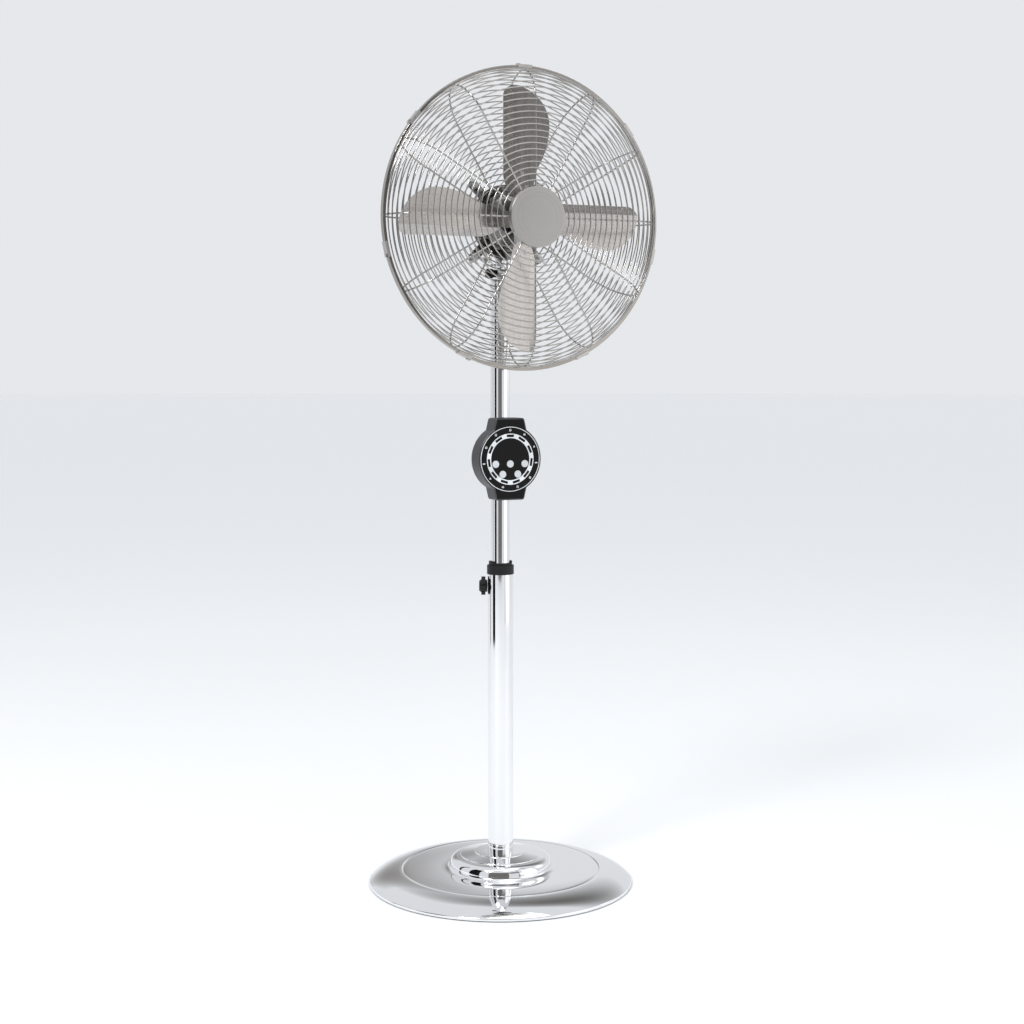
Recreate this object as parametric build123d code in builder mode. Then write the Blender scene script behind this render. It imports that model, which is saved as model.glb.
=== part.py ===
from build123d import *
import os
from math import acos, cos, radians, sin, sqrt

# Pedestal fan. Millimetres, +Z up, the fan faces -Y. The origin is on the floor, on the pole's axis.
# "forward" distances run from the pole's axis towards -Y, and the head's radii from its spin axis.

# ---- driving dimensions ------------------------------------------------------------------------
total_height = 1200.0
base_diameter = 395.0
guard_diameter = 429.0
box_below_guard = 69.0
mast_travel = 85.0
travel_margin = 8.0     # left between collar and box at the bottom of the travel

fit_gap = 0.02          # between pieces of one assembly that seat in each other
running_gap = 0.06      # radial, between a shaft and its bore
free_gap = 0.3          # between faces that move past each other
swing_gap = 0.4         # under or over a piece that swings past another
hole_clearance = 0.1    # radial, round a fixed screw or neck
bolt_clearance = 0.5    # radial, round the base bolt

# base
base_top = 47.5
base_sheet = 1.2
base_lip_height = 1.5
base_edge_height = 4.9
base_edge_round = 0.8
groove_inset = 50.0
groove_height = 21.4
groove_depth = 0.8
groove_half_width = 1.6
bulge_radius = 77.0
bulge_top = 40.8
bulge_round = 13.0
bulge_fall = 13.5
skirt_run = 8.0
skirt_rise = 0.9
skirt_bow = 1.4
brim_bow = (4.5, 3.2)
plateau_margin = 3.0
plateau_fall = 0.6
step_radii = (39.0, 60.0)
step_drop = 1.2
step_run = 0.3
foot_height = 4.0
foot_radius = 10.0
foot_count = 5
foot_margin = 3.0
weight_margin = 37.0
weight_thickness = 9.0
base_bolt_radius = 5.0
base_bolt_head_radius = 9.2
base_bolt_head_height = 5.0
base_bolt_end = 6.0
base_washer_thickness = 1.5
base_washer_radius = 16.0
bolt_recess_radius = 17.0

# pole
outer_tube_radius = 19.0
outer_tube_wall = 1.5
inner_tube_radius = 14.0
inner_tube_wall = 1.5
plug_height = 32.0
collar_wall = 1.0
collar_skirt = 13.5
collar_neck_wall = 3.3
collar_neck_length = 6.0
collar_cap_depth = 2.5
collar_dip = 2.6
collar_ear_width = 17.0
collar_round = 0.6
bush_length = 46.0
inner_tube_overlap = 153.0
glide_length = 26.0
glide_flange = 3.0
glide_wall = 2.0

# height knob
knob_below_collar = 18.0
knob_azimuth = 155.0
knob_radius = 14.0
knob_lobes = 7
knob_lobe_radius = 4.2
knob_length = 12.0
knob_flange_radius = 9.0
knob_flange_length = 2.8
knob_dome_length = 3.2
knob_cap = 4.0
knob_tube_gap = 0.6
knob_taper = 35.0
knob_screw_radius = 4.0

# control box
box_width = 99.5
box_tall = 120.0
box_flat_width = 44.8
tab_flare = 14.0
box_front = 35.0
box_depth = 28.0
box_corner_round = 4.0
box_edge_chamfer = 0.8
band_wall = 2.0
panel_thickness = 2.4
panel_recess = 0.2
shell_wall = 2.0
shell_floor = 2.0
sleeve_wall = 4.0
sleeve_margin = 3.0
print_thickness = 0.3
print_gap = 0.05
outer_ring_inset = 2.35
outer_ring_width = 0.9
scale_ring_inset = 12.25
scale_ring_width = 6.7
window_count = 11
window_length = 11.5
window_width = 3.6
window_thickness = 0.4
board_thickness = 1.6
board_margin = 7.5
board_forward = 26.0
relay_size = (12.0, 18.0)
relay_place = (-29.0, 8.0)
driver_size = (10.0, 14.0)
driver_place = (29.0, 12.0)
smoothing_radius = 5.0
smoothing_place = (-28.0, -16.0)
rear_part_height = 6.5
receiver_size = (9.0, 8.0)
receiver_place = (0.0, 14.0)
buzzer_radius = 5.5
buzzer_place = (20.0, 12.0)
front_part_height = 3.5
post_radius = 3.4
post_cap = 1.0
board_hole_gap = 0.4
post_x = 26.0
post_z = 33.0
screw_radius = 1.4
screw_length = 14.0
screw_head_radius = 2.8
screw_head_height = 1.8
gland_x = 27.0
gland_z = -22.0
gland_radius = 6.0
gland_length = 11.0
gland_round = 1.5
gland_neck_radius = 4.4
gland_neck_end = 1.5
cord_hole_radius = 3.2

# push-buttons: name, offset across, offset up from the face's centre
button_places = (
    ("button_timer", -23.4, -7.0),
    ("button_speed", 0.0, -7.0),
    ("button_swing", 23.4, -7.0),
    ("button_mode", -12.1, -22.0),
    ("button_power", 12.1, -22.0),
)
button_radius = 5.35
button_proud = 1.2
button_travel = 0.8
button_round = 0.8
button_flange = 1.2
button_flange_thickness = 0.8
button_stem_radius = 2.0
button_gap = 0.1
switch_size = 6.0
switch_height = 3.4

# tilt joint and neck
cheek_thickness = 4.0
cheek_radius = 9.0
tongue_thickness = 8.0
tongue_radius = 8.2
cap_flange = 1.4
fork_plug_length = 20.0
tilt_bolt_radius = 2.5
tilt_bolt_head_radius = 4.6
tilt_bolt_head_length = 4.0
tilt_knob_radius = 7.0
tilt_knob_lobe_radius = 2.1
tilt_knob_lobes = 6
tilt_knob_length = 14.4
tilt_knob_hub_length = 4.0
tilt_knob_hub_inset = 1.5
tilt_knob_dome = 1.4
tilt_knob_cap = 2.4
neck_radius = 7.0
neck_shoulder = 10.5    # above the tilt pivot
neck_length = 15.5
neck_floor = 1.5
neck_flat = 0.3
swing_pin_radius = 3.0
swing_pin_end = 0.6
neck_bush_wall = 0.95
bush_flange_height = 1.2
arm_rise = 0.6
arm_thickness = 3.0
arm_eye_radius = 4.0
arm_pin_radius = 2.0

# head, forward of the pole's axis
rim_forward = 79.0
rim_depth = 10.0
rim_wall = 1.0
rim_lip = 3.9
rim_wire_radius = 1.5
guard_inset = 5.5       # from the rim's outside to the widest spoke line
spoke_radius = 1.2
ring_radius = 0.9
weld_gap = 0.05
rim_ring_gap = 0.6
spoke_count = 12
ring_pitch = 8.6
first_ring_radius = 51.6
front_guard_forward = 119.0
front_bend = 46.0
rear_guard_forward = 24.0
rear_bend = 54.0
front_hub_ring_radius = 34.0
front_spoke_end = 4.0   # past the innermost ring
rear_spoke_end = 3.0
disc_radius = 42.3
disc_thickness = 8.2
disc_wall = 1.5
disc_edge_fillet = 1.2

# rim clips
clip_count = 7
clip_length = 22.0
clip_wall = 1.0
clip_tab_length = 5.0
clip_proud = 2.5
clip_leg = 4.5

# motor
motor_radius = 42.0
motor_wall = 2.0
motor_split_back = 10.0
motor_straight_back = 66.0
motor_dome_back = 92.0
dome_flat_radius = 14.0
flange_width = 12.0
flange_thickness = 3.0
dome_step = 3.0
nose_radius = 14.0
nose_forward = 50.0
nose_wall = 2.5
nose_skin = 2.0
shaft_hole_radius = 6.0
lug_width = 14.0
lug_root = 4.0
stud_gap_from_first = 2.5   # in ring pitches
stud_radius = 2.5
stud_head_radius = 4.6
stud_head_length = 2.6
stud_length_front = 9.0
wing_washer_radius = 6.2
wing_washer_thickness = 1.0
wing_barrel_radius = 4.4
wing_barrel_length = 4.5
wing_offset = 8.0
wing_length = 9.5
wing_thickness = 2.2
wing_round = 1.0
wing_height = 7.5
wing_rise = 1.5
mount_width = 22.0
mount_length = 36.0
mount_round = 5.0
mount_shift = 4.0
mount_thickness = 3.7
mount_gap = 0.1
bearing_radius = 11.0
bearing_length = 8.0
bearing_boss_wall = 3.0
bearing_lip = 2.0
bearing_lip_depth = 1.0
shaft_radius = 4.0
stator_depth = 18.0
core_length = 28.0
core_shift = 10.0
air_gap = 0.5
slot_count = 8
slot_inset = 10.0
slot_radius = 3.2
winding_wrap = 1.5
winding_radius = 3.0
winding_end = 6.0
web_back = 34.0
web_thickness = 3.0
vent_count = 8
vent_radius = 3.0
vent_circle_radius = 22.0
capacitor_size = (30.0, 14.0)
capacitor_round = 2.0
capacitor_length = 26.0
capacitor_inset = 14.0

# swing drive
swing_back = 52.0
swing_motor_radius = 13.0
swing_motor_height = 15.0
swing_motor_seat = 0.5
crank_below_mount = 0.8
crank_pin_end = 1.5
crank_radius = 9.0
crank_throw = 5.0
crank_thickness = 4.0
crank_shaft_radius = 2.5
link_width = 7.0
link_thickness = 2.4
link_pin_radius = 1.8
link_eye = (-17.0, 16.0)

# rotor and blades
blade_count = 4
blade_forward = 72.0
blade_thickness = 1.0
blade_tip_clearance = 21.0
blade_root_radius = 32.0
blade_root_round = 4.0
crease_bend = 2.5
blade_pitch = 8.0
strip_pitch = 28.0
crease_offset = 12.0
strip_width = 15.0
strip_root_gap = 3.0
belly_offset = 41.0
belly_below_tip = 55.0
hub_radius = 13.0
hub_front = 84.0
hub_back = 60.0
arm_length = 76.0
arm_plate = 2.5
arm_inset = 0.5
hub_nut_radius = 8.0
hub_nut_length = 6.0
shaft_end = 2.0
rivet_places = ((12.5, 65.0), (6.0, 46.0), (19.0, 46.0))
rivet_radius = 1.6
rivet_head_radius = 3.0
rivet_head_height = 0.9

# ---- derived places ----------------------------------------------------------------------------
base_radius = base_diameter / 2
groove_radius = base_radius - groove_inset
rim_radius = guard_diameter / 2
head_height = total_height - rim_radius - clip_proud
mount_bottom = head_height - motor_radius - mount_thickness
neck_top = mount_bottom - mount_gap - bush_flange_height
neck_bottom = neck_top - neck_length
tilt_pivot_height = neck_bottom - neck_shoulder
box_height_centre = head_height - rim_radius - box_below_guard - box_tall / 2
collar_top = box_height_centre - box_tall / 2 - travel_margin - mast_travel
collar_shoulder = collar_top - collar_neck_length
collar_bottom = collar_shoulder - collar_skirt
collar_cap = collar_shoulder - collar_cap_depth
knob_height = collar_bottom - knob_below_collar
inner_tube_bottom = collar_cap - inner_tube_overlap
tube_bore = outer_tube_radius - outer_tube_wall
inner_bore = inner_tube_radius - inner_tube_wall
collar_radius = outer_tube_radius + collar_wall
collar_neck_radius = inner_tube_radius + collar_neck_wall
knob_cos = cos(radians(knob_azimuth))
knob_sin = sin(radians(knob_azimuth))
tube_cap_height = tilt_pivot_height - tongue_radius - swing_gap
cheek_inside = tongue_thickness / 2 + free_gap
cheek_outside = cheek_inside + cheek_thickness
crank_top = mount_bottom - crank_below_mount
crank_bottom = crank_top - crank_thickness
link_bottom = crank_bottom - swing_gap - link_thickness
panel_front = box_front - panel_recess
panel_back = panel_front - panel_thickness
box_back = box_front - box_depth
board_back = board_forward - board_thickness
outer_ring_radius = box_width / 2 - outer_ring_inset
scale_ring_outer = box_width / 2 - scale_ring_inset
scale_ring_inner = scale_ring_outer - scale_ring_width
guard_radius = rim_radius - guard_inset
weld_offset = spoke_radius + ring_radius + weld_gap
lug_front = rear_guard_forward - weld_offset - ring_radius - weld_gap
lug_back = lug_front - flange_thickness
web_front_back = web_back - web_thickness
inner_radius = motor_radius - motor_wall
flange_radius = motor_radius + flange_width
dome_radius = motor_radius + dome_step
stud_circle_radius = first_ring_radius + stud_gap_from_first * ring_pitch
slot_circle_radius = inner_radius - slot_inset
core_radius = inner_radius - stator_depth
blade_tip_radius = guard_radius - blade_tip_clearance
belly_radius = blade_tip_radius - belly_below_tip

spin_axis = Axis((0, 0, head_height), (0, -1, 0))
side_plane = Plane(origin=(0, 0, head_height), x_dir=(0, -1, 0), z_dir=(-1, 0, 0))


def head_plane(forward):
    return Plane(origin=(0, -forward, head_height), x_dir=(1, 0, 0), z_dir=(0, -1, 0))


def box_plane(forward):
    return Plane(origin=(0, -forward, box_height_centre), x_dir=(1, 0, 0), z_dir=(0, -1, 0))


def knob_plane(distance):
    centre = (distance * knob_cos, distance * knob_sin, knob_height)
    return Plane(origin=centre, x_dir=(0, 0, 1), z_dir=(knob_cos, knob_sin, 0))


def left_plane(distance):
    return Plane(origin=(-distance, 0, tilt_pivot_height), x_dir=(0, 0, 1), z_dir=(-1, 0, 0))


def finish(piece, name):
    piece.part.label = name
    export_step(piece.part, f"parts/{name}.step")


def lobes(radius, lobe_radius, count):
    Circle(radius - lobe_radius * 0.8)
    with PolarLocations(radius - lobe_radius, count):
        Circle(lobe_radius)


def box_outline(inset):
    """Round face with a tab above and below, whose sides flare into the round."""
    Circle(box_width / 2)
    for side in (-1, 1):
        Polygon(
            (-box_flat_width / 2, side * box_tall / 2),
            (box_flat_width / 2, side * box_tall / 2),
            (box_flat_width / 2 + tab_flare, 0),
            (-box_flat_width / 2 - tab_flare, 0),
            align=None,
        )
    if inset:
        offset(amount=-inset, mode=Mode.REPLACE)


os.makedirs("parts", exist_ok=True)

# ================================================================================================
# Base: pressed cover over a cast weight, on rubber feet, bolted up into the pole
# ================================================================================================


mid_arc = 1 - cos(radians(45))     # how far a quarter round's middle falls from its two ends


def dome_curve(inward):
    """Line of the cover from its bolt hole out to its lip, moved in and down by the same amount."""
    def at(radius, height):
        return (radius - inward, height - inward)

    inner_step, outer_step = step_radii
    plateau = base_top - plateau_fall
    shelf = bulge_top + step_drop + plateau_fall
    bulge_foot = bulge_top - bulge_fall
    skirt_top = groove_height + skirt_rise
    hole = at(base_bolt_radius + bolt_clearance + inward, base_top)
    Polyline(
        hole,
        at(outer_tube_radius + plateau_margin, base_top),
        at(inner_step, plateau),
        at(inner_step + step_run, plateau - step_drop),
        at(outer_step, shelf),
        at(outer_step + step_run, shelf - step_drop),
        at(bulge_radius - bulge_round, bulge_top),
    )
    ThreePointArc(
        at(bulge_radius - bulge_round, bulge_top),
        at(bulge_radius - bulge_round * mid_arc, bulge_top - bulge_fall * mid_arc),
        at(bulge_radius, bulge_foot),
    )
    ThreePointArc(
        at(bulge_radius, bulge_foot),
        at(bulge_radius + skirt_run * mid_arc, skirt_top + (bulge_foot - skirt_top) * mid_arc),
        at(bulge_radius + skirt_run, skirt_top),
    )
    brim_start = at(groove_radius + groove_half_width, groove_height)
    skirt_middle = (bulge_radius + skirt_run + groove_radius - groove_half_width) / 2
    skirt_end = at(groove_radius - groove_half_width, groove_height)
    ThreePointArc(
        at(bulge_radius + skirt_run, skirt_top),
        at(skirt_middle, (skirt_top + groove_height) / 2 + skirt_bow),
        skirt_end,
    )
    Polyline(skirt_end, at(groove_radius, groove_height - groove_depth), brim_start)
    brim_end = at(base_radius - base_edge_round, base_edge_height + base_edge_round)
    bow_out, bow_up = brim_bow
    middle_radius = (groove_radius + base_radius) / 2 + bow_out
    middle_height = (groove_height + base_edge_height) / 2 + bow_up
    ThreePointArc(brim_start, at(middle_radius, middle_height), brim_end)
    Polyline(brim_end, at(base_radius, base_edge_height), at(base_radius, base_lip_height))
    return hole, at(base_radius, base_lip_height)


with BuildPart() as base_cover:
    with BuildSketch(Plane.XZ):
        with BuildLine():
            outer_start, outer_end = dome_curve(0)
            inner_start, inner_end = dome_curve(base_sheet)
            Line(outer_start, inner_start)
            Line(outer_end, inner_end)
        make_face()
    revolve(axis=Axis.Z)
finish(base_cover, "base_cover")

weight_top = foot_height + weight_thickness
with BuildPart() as base_weight:
    with BuildSketch(Plane.XY.offset(foot_height)):
        Circle(base_radius - weight_margin)
    extrude(amount=weight_thickness)
    with BuildSketch(Plane.XY.offset(weight_top)):
        Circle(outer_tube_radius)
    extrude(amount=base_top - base_sheet - fit_gap - weight_top)
    with BuildSketch(Plane.XY.offset(foot_height)):
        Circle(bolt_recess_radius)
    extrude(amount=weight_thickness, mode=Mode.SUBTRACT)
    with BuildSketch(Plane.XY.offset(foot_height)):
        Circle(base_bolt_radius + bolt_clearance)
    extrude(amount=base_top, mode=Mode.SUBTRACT)
finish(base_weight, "base_weight")

foot_circle_radius = base_radius - weight_margin - foot_radius - foot_margin
with BuildPart() as base_feet:
    with PolarLocations(foot_circle_radius, foot_count, start_angle=90):
        Cylinder(foot_radius, foot_height - fit_gap, align=(Align.CENTER, Align.CENTER, Align.MIN))
finish(base_feet, "base_feet")

bolt_head_top = weight_top - base_washer_thickness - 2 * fit_gap
with BuildPart() as base_bolt:
    with BuildSketch(Plane.XY.offset(bolt_head_top - base_bolt_head_height)):
        RegularPolygon(base_bolt_head_radius, 6)
    extrude(amount=base_bolt_head_height)
    with BuildSketch(Plane.XY.offset(bolt_head_top)):
        Circle(base_bolt_radius)
    extrude(amount=base_top + plug_height - base_bolt_end - bolt_head_top)
    with BuildSketch(Plane.XY.offset(bolt_head_top + fit_gap)):
        Circle(base_washer_radius)
        Circle(base_bolt_radius + fit_gap, mode=Mode.SUBTRACT)
    extrude(amount=base_washer_thickness)
finish(base_bolt, "base_bolt")

# ================================================================================================
# Pole: plugged outer tube, guide bush and collar
# ================================================================================================
with BuildPart() as pole_plug:
    with BuildSketch(Plane.XY.offset(base_top + fit_gap)):
        Circle(tube_bore - fit_gap)
        Circle(base_bolt_radius + fit_gap, mode=Mode.SUBTRACT)
    extrude(amount=plug_height)
finish(pole_plug, "pole_plug")

with BuildPart() as outer_tube:
    with BuildSketch(Plane.XY.offset(base_top + fit_gap)):
        Circle(outer_tube_radius)
        Circle(tube_bore, mode=Mode.SUBTRACT)
    extrude(amount=collar_cap - fit_gap - base_top - fit_gap)
    with BuildSketch(knob_plane(inner_tube_radius)):
        Circle(knob_screw_radius + free_gap)
    extrude(amount=outer_tube_radius, mode=Mode.SUBTRACT)
finish(outer_tube, "outer_tube")

with BuildPart() as guide_bush:
    with BuildSketch(Plane.XY.offset(collar_cap - fit_gap - bush_length)):
        Circle(tube_bore - fit_gap)
        Circle(inner_tube_radius + running_gap, mode=Mode.SUBTRACT)
    extrude(amount=bush_length)
    with BuildSketch(knob_plane(0)):
        Circle(knob_screw_radius + free_gap)
    extrude(amount=outer_tube_radius, mode=Mode.SUBTRACT)
finish(guide_bush, "guide_bush")

with BuildPart() as height_collar:
    with BuildSketch(Plane.XY.offset(collar_bottom)):
        Circle(collar_radius)
    extrude(amount=collar_shoulder - collar_bottom)
    with BuildSketch(Plane.XY.offset(collar_shoulder)):
        Circle(collar_neck_radius)
    extrude(amount=collar_top - collar_dip - collar_shoulder)
    with BuildSketch(Plane.XY.offset(collar_top - collar_dip)):
        Circle(collar_neck_radius)
        Rectangle(2 * collar_radius, collar_ear_width, mode=Mode.INTERSECT)
    extrude(amount=collar_dip)
    with BuildSketch(Plane.XY.offset(collar_bottom)):
        Circle(outer_tube_radius + fit_gap)
    extrude(amount=collar_cap - collar_bottom, mode=Mode.SUBTRACT)
    with BuildSketch(Plane.XY.offset(collar_bottom)):
        Circle(inner_tube_radius + free_gap)
    extrude(amount=collar_top - collar_bottom, mode=Mode.SUBTRACT)
    rim_edges = height_collar.edges().filter_by(GeomType.CIRCLE).group_by(SortBy.RADIUS)[-1]
    fillet(rim_edges, collar_round)
finish(height_collar, "height_collar")

# ---- height knob -------------------------------------------------------------------------------
knob_start = outer_tube_radius + knob_tube_gap
knob_grip_start = knob_start + knob_flange_length
knob_dome_start = knob_start + knob_length - knob_dome_length
with BuildPart() as height_knob:
    with BuildSketch(knob_plane(knob_start)):
        Circle(knob_flange_radius)
    extrude(amount=knob_flange_length)
    with BuildSketch(knob_plane(knob_grip_start)):
        lobes(knob_radius, knob_lobe_radius, knob_lobes)
    extrude(amount=knob_dome_start - knob_grip_start)
    with BuildSketch(knob_plane(knob_dome_start)):
        Circle(knob_radius - knob_lobe_radius)
    extrude(amount=knob_dome_length, taper=knob_taper)
    with BuildSketch(knob_plane(knob_start)):
        Circle(knob_screw_radius + fit_gap)
    extrude(amount=knob_length - knob_cap, mode=Mode.SUBTRACT)
finish(height_knob, "height_knob")

screw_start = inner_tube_radius + swing_gap
with BuildPart() as height_screw:
    with BuildSketch(knob_plane(screw_start)):
        Circle(knob_screw_radius)
    extrude(amount=knob_start + knob_length - knob_cap - fit_gap - screw_start)
finish(height_screw, "height_screw")

# ================================================================================================
# Mast: inner tube with its glide, control box and tilt fork
# ================================================================================================
with BuildPart() as inner_tube:
    with BuildSketch(Plane.XY.offset(inner_tube_bottom)):
        Circle(inner_tube_radius)
        Circle(inner_bore, mode=Mode.SUBTRACT)
    extrude(amount=tube_cap_height - cap_flange - fit_gap - inner_tube_bottom)
finish(inner_tube, "inner_tube")

with BuildPart() as tube_glide:
    with BuildSketch(Plane.XY.offset(inner_tube_bottom - glide_flange)):
        Circle(tube_bore - running_gap)
    extrude(amount=glide_flange - fit_gap)
    with BuildSketch(Plane.XY.offset(inner_tube_bottom - glide_flange)):
        Circle(inner_bore - fit_gap)
    extrude(amount=glide_length)
    with BuildSketch(Plane.XY.offset(inner_tube_bottom - glide_flange)):
        Circle(inner_bore - glide_wall)
    extrude(amount=glide_length, mode=Mode.SUBTRACT)
finish(tube_glide, "tube_glide")

# ---- control box -------------------------------------------------------------------------------
with BuildPart() as box_band:
    with BuildSketch(box_plane(box_back)):
        box_outline(0)
    extrude(amount=box_depth)
    corner_edges = box_band.edges().filter_by(Axis.Y)
    fillet(corner_edges, box_corner_round)
    front_edges = box_band.faces().sort_by(Axis.Y)[0].edges()
    chamfer(front_edges, box_edge_chamfer)
    with BuildSketch(box_plane(box_back)):
        box_outline(band_wall)
    extrude(amount=box_depth, mode=Mode.SUBTRACT)
    with BuildSketch(Plane.XY.offset(box_height_centre - box_tall)):
        Circle(inner_tube_radius + fit_gap)
    extrude(amount=2 * box_tall, mode=Mode.SUBTRACT)
finish(box_band, "box_band")

post_places = [(x, z) for x in (-post_x, post_x) for z in (-post_z, post_z)]
seat_inset = band_wall + fit_gap
sleeve_radius = inner_tube_radius + sleeve_wall
sleeve_half = box_tall / 2 - sleeve_margin
with BuildPart() as box_rear_shell:
    with BuildSketch(box_plane(box_back)):
        box_outline(seat_inset)
    extrude(amount=panel_back - fit_gap - box_back)
    with BuildSketch(box_plane(box_back + shell_floor)):
        box_outline(seat_inset + shell_wall)
    extrude(amount=box_depth, mode=Mode.SUBTRACT)
    with BuildSketch(Plane.XY.offset(box_height_centre - sleeve_half)):
        Circle(sleeve_radius)
    extrude(amount=2 * sleeve_half)
    with BuildSketch(Plane.XY.offset(box_height_centre - box_tall)):
        Circle(inner_tube_radius + fit_gap)
    extrude(amount=2 * box_tall, mode=Mode.SUBTRACT)
    with BuildSketch(box_plane(box_back)):
        with Locations(*post_places):
            Circle(screw_radius + hole_clearance)
        with Locations((gland_x, gland_z)):
            Circle(gland_neck_radius + hole_clearance)
    extrude(amount=shell_floor, mode=Mode.SUBTRACT)
finish(box_rear_shell, "box_rear_shell")

post_length = panel_back - box_back - shell_floor - fit_gap
with BuildPart() as face_panel:
    with BuildSketch(box_plane(panel_back)):
        box_outline(seat_inset)
        for name, across, up in button_places:
            with Locations((across, up)):
                Circle(button_radius + free_gap, mode=Mode.SUBTRACT)
    extrude(amount=panel_thickness)
    with BuildSketch(box_plane(panel_back)):
        with Locations(*post_places):
            Circle(post_radius)
    extrude(amount=-post_length)
    with BuildSketch(box_plane(box_back)):
        with Locations(*post_places):
            Circle(screw_radius + fit_gap)
    extrude(amount=panel_back - box_back - post_cap, mode=Mode.SUBTRACT)
finish(face_panel, "face_panel")

print_plane = box_plane(panel_front + fit_gap)
scale_middle = (scale_ring_outer + scale_ring_inner) / 2
with BuildPart() as face_rings:
    with BuildSketch(print_plane):
        Circle(outer_ring_radius)
        Circle(outer_ring_radius - outer_ring_width, mode=Mode.SUBTRACT)
    extrude(amount=print_thickness)
    with BuildSketch(print_plane):
        Circle(scale_ring_outer)
        Circle(scale_ring_inner, mode=Mode.SUBTRACT)
        with PolarLocations(scale_middle, window_count, start_angle=90):
            Rectangle(window_width + 2 * print_gap, window_length + 2 * print_gap, mode=Mode.SUBTRACT)
    extrude(amount=print_thickness)
finish(face_rings, "face_rings")

with BuildPart() as scale_windows:
    with BuildSketch(print_plane):
        with PolarLocations(scale_middle, window_count, start_angle=90):
            RectangleRounded(window_width, window_length, window_width * 0.4)
    extrude(amount=window_thickness)
finish(scale_windows, "scale_windows")

with BuildPart() as control_board:
    with BuildSketch(box_plane(board_back)):
        box_outline(board_margin)
        with Locations(*post_places):
            Circle(post_radius + board_hole_gap, mode=Mode.SUBTRACT)
    extrude(amount=board_thickness)
finish(control_board, "control_board")

# relay, driver, capacitor and connector behind the board, receiver and buzzer in front of it
with BuildPart() as board_parts:
    with BuildSketch(box_plane(board_back - fit_gap)):
        with Locations(relay_place):
            Rectangle(*relay_size)
        with Locations(driver_place):
            Rectangle(*driver_size)
        with Locations(smoothing_place):
            Circle(smoothing_radius)
    extrude(amount=-rear_part_height)
    with BuildSketch(box_plane(board_forward + fit_gap)):
        with Locations(receiver_place):
            Rectangle(*receiver_size)
        with Locations(buzzer_place):
            Circle(buzzer_radius)
    extrude(amount=front_part_height)
finish(board_parts, "board_parts")

with BuildPart() as button_switches:
    with BuildSketch(box_plane(board_forward + fit_gap)):
        for name, across, up in button_places:
            with Locations((across, up)):
                Rectangle(switch_size, switch_size)
    extrude(amount=switch_height)
finish(button_switches, "button_switches")

cap_front = panel_front + button_proud
flange_front = panel_back - button_gap
stem_end = board_forward + fit_gap + switch_height + button_travel + button_gap
for name, across, up in button_places:
    with BuildPart() as button:
        with BuildSketch(box_plane(flange_front)):
            with Locations((across, up)):
                Circle(button_radius)
        extrude(amount=cap_front - flange_front)
        fillet(button.faces().sort_by(Axis.Y)[0].edges(), button_round)
        with BuildSketch(box_plane(flange_front)):
            with Locations((across, up)):
                Circle(button_radius + button_flange)
        extrude(amount=-button_flange_thickness)
        with BuildSketch(box_plane(stem_end)):
            with Locations((across, up)):
                Circle(button_stem_radius)
        extrude(amount=flange_front - stem_end)
    finish(button, name)

with BuildPart() as box_screws:
    with BuildSketch(box_plane(box_back - fit_gap)):
        with Locations(*post_places):
            Circle(screw_head_radius)
    extrude(amount=-screw_head_height)
    with BuildSketch(box_plane(box_back - fit_gap)):
        with Locations(*post_places):
            Circle(screw_radius)
    extrude(amount=screw_length)
finish(box_screws, "box_screws")

with BuildPart() as cord_gland:
    with BuildSketch(box_plane(box_back - fit_gap)):
        with Locations((gland_x, gland_z)):
            Circle(gland_radius)
    extrude(amount=-gland_length)
    fillet(cord_gland.faces().sort_by(Axis.Y)[-1].edges(), gland_round)
    with BuildSketch(box_plane(box_back - fit_gap)):
        with Locations((gland_x, gland_z)):
            Circle(gland_neck_radius)
    extrude(amount=shell_floor + gland_neck_end)
    with BuildSketch(box_plane(box_back + shell_floor + gland_neck_end)):
        with Locations((gland_x, gland_z)):
            Circle(cord_hole_radius)
    extrude(amount=-2 * (gland_length + shell_floor), mode=Mode.SUBTRACT)
finish(cord_gland, "cord_gland")

# ---- tilt fork and bolt ------------------------------------------------------------------------
with BuildPart() as tilt_fork:
    with BuildSketch(Plane.XY.offset(tube_cap_height - cap_flange)):
        Circle(inner_bore - fit_gap)
    extrude(amount=-fork_plug_length)
    with BuildSketch(Plane.XY.offset(tube_cap_height - cap_flange)):
        Circle(inner_tube_radius)
    extrude(amount=cap_flange)
    for side in (-1, 1):
        with BuildSketch(Plane.YZ.offset(side * cheek_inside)):
            with Locations((0, tilt_pivot_height)):
                Circle(cheek_radius)
            with Locations((0, (tilt_pivot_height + tube_cap_height - cap_flange) / 2)):
                Rectangle(2 * cheek_radius, tilt_pivot_height - tube_cap_height + cap_flange)
        extrude(amount=side * cheek_thickness)
    with BuildSketch(Plane.YZ.offset(-cheek_outside)):
        with Locations((0, tilt_pivot_height)):
            Circle(tilt_bolt_radius + fit_gap)
    extrude(amount=2 * cheek_outside, mode=Mode.SUBTRACT)
finish(tilt_fork, "tilt_fork")

tilt_hub_start = cheek_outside + free_gap
with BuildPart() as tilt_bolt:
    with BuildSketch(left_plane(-cheek_outside - fit_gap - tilt_bolt_head_length)):
        RegularPolygon(tilt_bolt_head_radius, 6)
    extrude(amount=tilt_bolt_head_length)
    with BuildSketch(left_plane(-cheek_outside - fit_gap)):
        Circle(tilt_bolt_radius)
    extrude(amount=2 * cheek_outside + tilt_knob_length - tilt_knob_cap - swing_gap)
finish(tilt_bolt, "tilt_bolt")

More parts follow.
